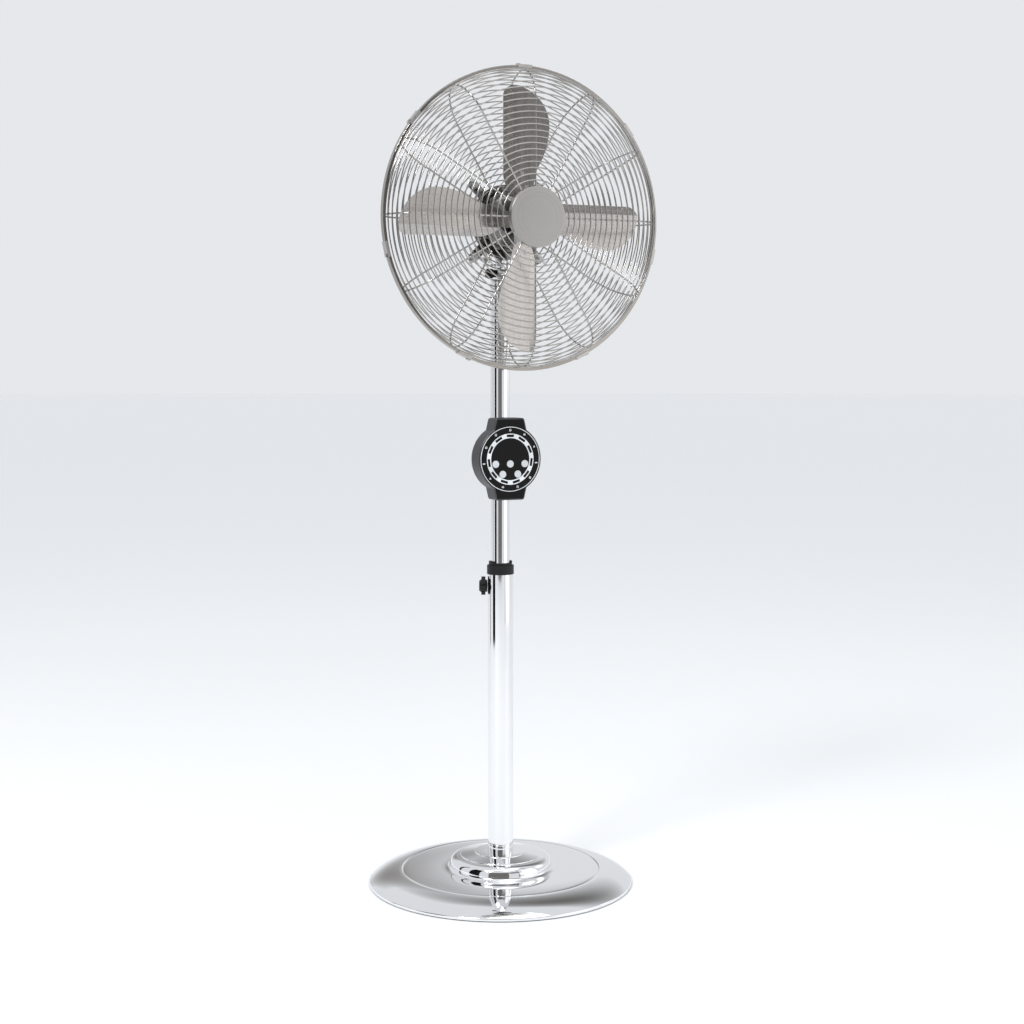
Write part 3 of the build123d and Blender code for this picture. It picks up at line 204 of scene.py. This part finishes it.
def mouldedPlastic(name, color, roughness=0.42, grainScale=1400, bump=0.2, coat=0.0, shine=0.3):
    s = Shader(name)
    grain = s.noise(s.place(), grainScale, 2)
    clouds = s.noise(s.place(), 30, 3)
    tone = s.tint(clouds, scaled(color, 0.82), scaled(color, 1.15))
    gloss = roughness + clouds * 0.08
    return s.surface(
        tone, gloss, 0.0, s.bump(grain, bump, 0.0002), Coat_Weight=coat, Specular_IOR_Level=shine)


iron = {"color": (0.05, 0.05, 0.055), "roughness": 0.55, "pitScale": 420, "pitDepth": 0.0008}


def castIron(name="painted cast iron", look=iron):
    s = Shader(name)
    pits = s.noise(s.place(), look["pitScale"], 6, 0.7)
    tone = s.tint(pits, scaled(look["color"], 0.6), scaled(look["color"], 1.5))
    roughness = look["roughness"] + pits * 0.25
    return s.surface(tone, roughness, 0.0, s.bump(pits, 0.6, look["pitDepth"]))


def plainMetal(name, color, roughness=0.3):
    s = Shader(name)
    marks = s.noise(s.place(scale=(1, 1, 0.3)), 320, 3)
    tone = s.tint(marks, scaled(color, 0.86), scaled(color, 1.1))
    return s.surface(tone, roughness + marks * 0.12, 1.0, s.bump(marks, 0.08, 0.0002))


def laminations(name="stacked laminations", color=(0.36, 0.36, 0.37)):
    s = Shader(name)
    wanted = {"Vector": s.place(), "Scale": 320.0, "Distortion": 0.2}
    bands = s.node("ShaderNodeTexWave", wanted, bands_direction="Y")
    tone = s.tint(bands, scaled(color, 0.5), color)
    return s.surface(tone, 0.4 + bands * 0.15, 0.9, s.bump(bands, 0.4, 0.0003))


def enamelledWire(name="enamelled copper", color=(0.50, 0.17, 0.06)):
    s = Shader(name)
    wanted = {"Vector": s.place(), "Scale": 190.0, "Distortion": 2.5, "Detail": 2.0}
    turns = s.node("ShaderNodeTexWave", wanted, bands_direction="Z")
    tone = s.tint(turns, scaled(color, 0.45), scaled(color, 1.25))
    return s.surface(tone, 0.24 + turns * 0.1, 0.7, s.bump(turns, 0.6, 0.0006))


def solderMask(name="green solder mask", color=(0.015, 0.12, 0.05)):
    s = Shader(name)
    wanted = {"Vector": s.place(), "Scale": 170.0}
    tracks = s.node("ShaderNodeTexVoronoi", wanted, feature="F1", distance="MANHATTAN")
    tone = s.tint(tracks, scaled(color, 1.9), color)
    relief = s.bump(tracks, 0.2, 0.0002)
    return s.surface(tone, 0.25 + tracks * 0.15, 0.0, relief, Coat_Weight=0.3)


black = (0.009, 0.009, 0.0095)
finishes = {
    "chrome": polishedChrome(),
    "boxBand": brushedSheet("satin band", look=bandLook, scale=(9, 420, 9)),
    # the darker chrome copy is painted shade for the motor's front cover
    "paintedShadeChrome": polishedChrome("chrome darkened as painted shade", paintedShadeLook),
    "wire": satinWire(),
    "rim": satinWire("nickel rim", (0.33, 0.31, 0.29)),
    "disc": turnedSheet(),
    "blackPlastic": mouldedPlastic("matte black plastic", black, 0.46),
    "glossPanel": mouldedPlastic(
        "gloss black panel", (0.004, 0.004, 0.0045), 0.06, 60, 0.01, 0.0, 0.12),
    "window": mouldedPlastic("smoked window", (0.006, 0.006, 0.007), 0.12, 60, 0.01, 0.0, 0.12),
    "print": mouldedPlastic("white print", (0.80, 0.83, 0.85), 0.34, 900, 0.04),
    "button": mouldedPlastic("pearl button", (0.62, 0.64, 0.66), 0.22, 500, 0.03, 0.6),
    "nylon": mouldedPlastic("natural nylon", (0.66, 0.63, 0.55), 0.45, 500, 0.1),
    "rubber": mouldedPlastic("black rubber", (0.018, 0.018, 0.018), 0.68, 700, 0.5),
    "iron": castIron(),
    "steel": plainMetal("zinc plated steel", (0.60, 0.60, 0.59)),
    "clip": plainMetal("pressed clip steel", (0.50, 0.48, 0.46), 0.24),
    "aluminium": plainMetal("cast aluminium", (0.66, 0.66, 0.66), 0.34),
    "brass": plainMetal("turned brass", (0.72, 0.52, 0.22), 0.22),
    "laminations": laminations(),
    "copper": enamelledWire(),
    "board": solderMask(),
}

nodeFinish = {
    "chrome": ("base_cover", "outer_tube", "inner_tube", "tilt_fork", "neck_post",
               "motor_rear_cover"),
    # the motor's front cover gets the darker chrome copy as painted shade
    "paintedShadeChrome": ("motor_front_cover",),
    "boxBand": ("box_band",),
    "wire": ("front_guard_rings", "front_guard_frame", "rear_guard_rings", "rear_guard_frame"),
    "rim": ("guard_rim",),
    "disc": ("front_disc",),
    "blackPlastic": ("height_collar", "height_knob", "tilt_knob", "box_rear_shell", "cord_gland",
                     "board_parts", "button_switches", "capacitor"),
    "glossPanel": ("face_panel",),
    "window": ("scale_windows",),
    "print": ("face_rings",),
    "button": ("button_timer", "button_speed", "button_swing", "button_mode", "button_power"),
    "nylon": ("guide_bush", "tube_glide", "swing_motor", "swing_crank"),
    "rubber": ("base_feet",),
    "iron": ("base_weight",),
    "steel": ("base_bolt", "pole_plug", "height_screw", "box_screws", "tilt_bolt", "motor_mount",
              "guard_studs", "motor_shaft", "blade_hub", "blade_rivets", "hub_nut", "swing_link"),
    "clip": ("rim_clips",),
    "aluminium": ("wing_nuts",),
    "brass": ("neck_bush", "motor_bearings"),
    "laminations": ("stator_core", "rotor_core"),
    "copper": ("stator_windings",),
    "board": ("control_board",),
}


def dress(node, material):
    for slot in nodes[node].material_slots:
        slot.material = material


for finish, dressed in nodeFinish.items():
    for node in dressed:
        dress(node, finishes[finish])
# each blade's grain runs along its own length, a quarter turn on from the last
for index in range(4):
    quarter = index * pi / 2
    dress(f"blade_{index + 1}", brushedSheet(f"brushed blade {index + 1}", quarter))
print("finishes made:", len(bpy.data.materials))


# the base's pressed cover, turned from its bolt hole out to its lip, in millimetres
baseShape = {
    "sides": 256,
    "sheet": 1.2,
    "steps": 10,
    "smoothBelow": 50,    # degrees
    # radius and height: each stretch ends at its last pair, curving towards its first of two
    "start": (5.5, 47.5),
    "line": (
        ((21.0, 47.5),),
        ((38.4, 46.95),),
        ((39.2, 46.9), (39.3, 45.9)),
        ((39.4, 45.6), (40.0, 45.5)),
        ((59.4, 42.65),),
        ((60.2, 42.5), (60.3, 41.8)),
        ((60.4, 41.3), (61.0, 41.2)),
        ((64.0, 40.8),),
        ((76.0, 40.4), (77.0, 27.3)),
        ((77.4, 22.6), (85.0, 22.3)),
        ((116.0, 23.6), (145.6, 21.5)),
        ((146.6, 21.3), (147.5, 20.6)),
        ((148.4, 21.3), (149.4, 21.4)),
        ((180.0, 18.6), (196.7, 5.7)),
        ((197.4, 5.2), (197.5, 4.4)),
        ((197.5, 1.5),),
    ),
}


def lineSpots(start, line, steps):
    spots = [start]
    for stretch in line:
        radius, height = spots[-1]
        endRadius, endHeight = stretch[-1]
        if len(stretch) == 1:
            spots.append((endRadius, endHeight))
            continue
        pullRadius, pullHeight = stretch[0]
        for step in range(1, steps + 1):
            t = step / steps
            near, mid, far = (1 - t) ** 2, 2 * t * (1 - t), t ** 2
            spots.append((near * radius + mid * pullRadius + far * endRadius,
                          near * height + mid * pullHeight + far * endHeight))
    return spots


def makeBaseCover():
    spots = lineSpots(baseShape["start"], baseShape["line"], baseShape["steps"])
    radius, height = spots[0]
    bpy.ops.object.select_all(action="DESELECT")
    bpy.ops.mesh.primitive_circle_add(
        vertices=baseShape["sides"], radius=radius / perMetre, location=(0, 0, height / perMetre))
    made = bpy.context.object
    made.name = "base_cover_smooth"
    bpy.ops.object.transform_apply(location=True, rotation=True, scale=True)
    bpy.ops.object.mode_set(mode="EDIT")
    bpy.ops.mesh.select_all(action="SELECT")
    for nextRadius, nextHeight in spots[1:]:
        # pull the open edge on to the next spot of the line
        bpy.ops.mesh.extrude_edges_move(
            TRANSFORM_OT_translate={"value": (0, 0, (nextHeight - height) / perMetre)})
        grow = nextRadius / radius
        bpy.ops.transform.resize(value=(grow, grow, 1))
        radius, height = nextRadius, nextHeight
    bpy.ops.mesh.select_all(action="SELECT")
    bpy.ops.mesh.normals_make_consistent(inside=False)
    bpy.ops.object.mode_set(mode="OBJECT")
    if made.data.polygons[0].normal.z < 0:
        made.data.flip_normals()
    wall = made.modifiers.new("sheet", "SOLIDIFY")
    wall.thickness = baseShape["sheet"] / perMetre
    wall.offset = -1
    bpy.ops.object.modifier_apply(modifier=wall.name)
    bpy.ops.object.shade_smooth_by_angle(angle=radians(baseShape["smoothBelow"]))
    made.data.materials.append(finishes["chrome"])
    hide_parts("base_cover")
    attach(made, "base")


makeBaseCover()
print("base cover made")


# small marks outside the scale ring: (sides, radius, hole, across, up, stretch across, stretch up)
icons = {
    "ringRadius": 0.0424,
    "thickness": 0.00012,
    "marks": (
        ((24, 1.8, 0.72, 0, 0, 1, 1), (12, 0.6, 0, 0, 0, 1, 1)),
        ((4, 1.3, 0, -1.3, 0, 0.4, 1.4), (4, 1.3, 0, 0, 0, 0.4, 1.4),
         (4, 1.3, 0, 1.3, 0, 0.4, 1.4)),
        ((3, 1.9, 0, 0, 0, 1, 1),),
        ((16, 1.0, 0, -1.1, 0, 1, 1), (16, 1.0, 0, 1.1, 0, 1, 1)),
        ((6, 1.9, 0.6, 0, 0, 1, 1),),
    ),
    "count": 11,
}


def flatShape(mark, centre):
    sides, radius, hole, across, up, wide, tall = mark
    place = centre + Vector((across, 0, up)) / perMetre
    bpy.ops.object.select_all(action="DESELECT")
    bpy.ops.mesh.primitive_circle_add(
        vertices=sides, radius=radius / perMetre, fill_type="NGON", location=place,
        rotation=(pi / 2, 0, 0))
    shape = bpy.context.object
    shape.scale = (wide, tall, 1)
    bpy.ops.object.transform_apply(location=True, rotation=True, scale=True)
    if hole:
        bpy.ops.object.mode_set(mode="EDIT")
        bpy.ops.mesh.select_all(action="SELECT")
        bpy.ops.mesh.inset(thickness=radius / perMetre * (1 - hole))
        bpy.ops.mesh.delete(type="FACE")
        bpy.ops.object.mode_set(mode="OBJECT")
    return shape


def makeIcons():
    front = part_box("face_panel")[0].y - icons["thickness"] / 2
    shapes = []
    for index in range(icons["count"]):
        angle = pi / 2 - 2 * pi * index / icons["count"]
        out = Vector((cos(angle), 0, sin(angle))) * icons["ringRadius"]
        centre = Vector((faceCentre.x, front, faceCentre.z)) + out
        for mark in icons["marks"][index % len(icons["marks"])]:
            shapes.append(flatShape(mark, centre))
    bpy.ops.object.select_all(action="DESELECT")
    for shape in shapes:
        shape.select_set(True)
    bpy.context.view_layer.objects.active = shapes[0]
    bpy.ops.object.join()
    made = bpy.context.object
    made.name = "face_icons"
    wall = made.modifiers.new("thickness", "SOLIDIFY")
    wall.thickness = icons["thickness"]
    wall.offset = 0
    bpy.ops.object.modifier_apply(modifier=wall.name)
    bpy.ops.object.mode_set(mode="EDIT")
    bpy.ops.mesh.select_all(action="SELECT")
    bpy.ops.mesh.normals_make_consistent(inside=False)
    bpy.ops.object.mode_set(mode="OBJECT")
    made.data.materials.append(finishes["print"])
    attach(made, "mast")
    return made


makeIcons()
print("icons made")


# the camera stands to the fan's left, a little below the head
camera = {"place": (-1.060, -2.318, 0.781), "target": (0.012, -0.015, 0.560), "lens": 60.6}


def makeCamera():
    lens = bpy.data.cameras.new("camera")
    lens.lens = camera["lens"]
    lens.sensor_width = 36
    lens.clip_end = 200
    held = bpy.data.objects.new("camera", lens)
    bpy.context.collection.objects.link(held)
    held.location = camera["place"]
    look = Vector(camera["target"]) - Vector(camera["place"])
    held.rotation_euler = look.to_track_quat("-Z", "Y").to_euler()
    bpy.context.scene.camera = held


makeCamera()

studio = {
    "world": (0.93, 0.95, 0.98),
    "worldStrength": 0.85,
    "floor": (0.965, 0.975, 0.985),
    "towardsCamera": -114.6,    # degrees round from +X
    "floorRadius": 40,
    "lampAim": (0, 0, 0.6),
    # name, place, width and depth, power
    "lamps": (
        ("left softbox", (-2.0, -1.2, 2.9), (0.8, 0.8), 40),
        ("top softbox", (0.3, -0.8, 3.2), (2.0, 2.0), 16),
    ),
}


def softbox(name, place, size, energy):
    light = bpy.data.lights.new(name, "AREA")
    light.shape = "RECTANGLE"
    light.size, light.size_y = size
    light.energy = energy
    held = bpy.data.objects.new(name, light)
    bpy.context.collection.objects.link(held)
    held.location = place
    aim = Vector(studio["lampAim"]) - Vector(place)
    held.rotation_euler = aim.to_track_quat("-Z", "Y").to_euler()


def card(name, turn, distance, width, low, high, tone, soft):
    # a studio flag that only shows in reflections, and fades out towards its edges where soft is 1
    angle = radians(studio["towardsCamera"] + turn)
    place = (distance * cos(angle), distance * sin(angle), (low + high) / 2)
    bpy.ops.object.select_all(action="DESELECT")
    bpy.ops.mesh.primitive_plane_add(size=1, location=place, rotation=(pi / 2, 0, angle + pi / 2))
    flag = bpy.context.object
    flag.name = name
    flag.scale = (width, high - low, 1)
    s = Shader(name)
    emission = s.node("ShaderNodeEmission", {"Color": (*tone, 1), "Strength": 1.0})
    clear = s.node("ShaderNodeBsdfTransparent", {"Color": (1, 1, 1, 1)})
    spot = s.place()
    across, up = [s.node("ShaderNodeSeparateXYZ", {0: spot}, output=axis) for axis in (0, 1)]
    fade = (1 - 4 * across * across) * (1 - 4 * up * up) * soft + (1 - soft)
    mixed = s.node("ShaderNodeMixShader", {0: fade, 1: clear, 2: emission})
    s.node("ShaderNodeOutputMaterial", {"Surface": mixed})
    flag.data.materials.append(s.material)
    flag.visible_camera = False
    flag.visible_diffuse = False
    flag.visible_shadow = False
    flag.visible_transmission = False


# name, degrees round from the camera, distance, width, lowest and highest point, tone, softness
flags = (
    ("black flag", -60, 2.2, 1.0, 0.0, 2.4, (0.010, 0.010, 0.011), 0),
    ("thin black flag", -100, 2.2, 0.25, 0.0, 2.4, (0.02, 0.02, 0.02), 0),
    ("grey flag", -4, 3.6, 3.0, 0.0, 2.6, (0.17, 0.165, 0.16), 0),
    ("white card", 70, 2.6, 1.6, 0.0, 2.6, (1.3, 1.3, 1.3), 0),
    ("thin grey flag", 42, 2.6, 0.16, 0.0, 2.4, (0.12, 0.12, 0.12), 0),
    ("blade shade", 30, 2.4, 1.3, 0.85, 1.9, (0.10, 0.095, 0.09), 1),
    ("low white card", 54, 2.1, 1.2, 0.05, 0.95, (1.5, 1.47, 1.42), 1),
    ("strip flag", 69, 1.5, 1.8, 2.1, 3.9, (0.03, 0.03, 0.03), 1),
    ("strip card", 107, 2.2, 1.0, 0.6, 1.9, (1.9, 1.88, 1.85), 1),
    ("high back flag", 160, 2.4, 4.4, 0.9, 4.2, (0.16, 0.155, 0.15), 1),
    ("low back flag", 196, 2.6, 1.6, 0.2, 1.5, (0.30, 0.29, 0.285), 1),
)


def makeStudio():
    scene = bpy.context.scene
    scene.view_settings.view_transform = "Standard"
    world = bpy.data.worlds.new("studio")
    world.use_nodes = True
    backdrop = world.node_tree.nodes["Background"]
    backdrop.inputs["Color"].default_value = (*studio["world"], 1)
    backdrop.inputs["Strength"].default_value = studio["worldStrength"]
    scene.world = world
    for lamp in studio["lamps"]:
        softbox(*lamp)
    for flag in flags:
        card(*flag)
    bpy.ops.object.select_all(action="DESELECT")
    bpy.ops.mesh.primitive_circle_add(
        vertices=96, radius=studio["floorRadius"], fill_type="NGON", location=(0, 0, 0))
    floor = bpy.context.object
    floor.name = "studio_floor"
    s = Shader("pale floor")
    floor.data.materials.append(s.surface(studio["floor"], 0.6))


makeStudio()
print("studio made")
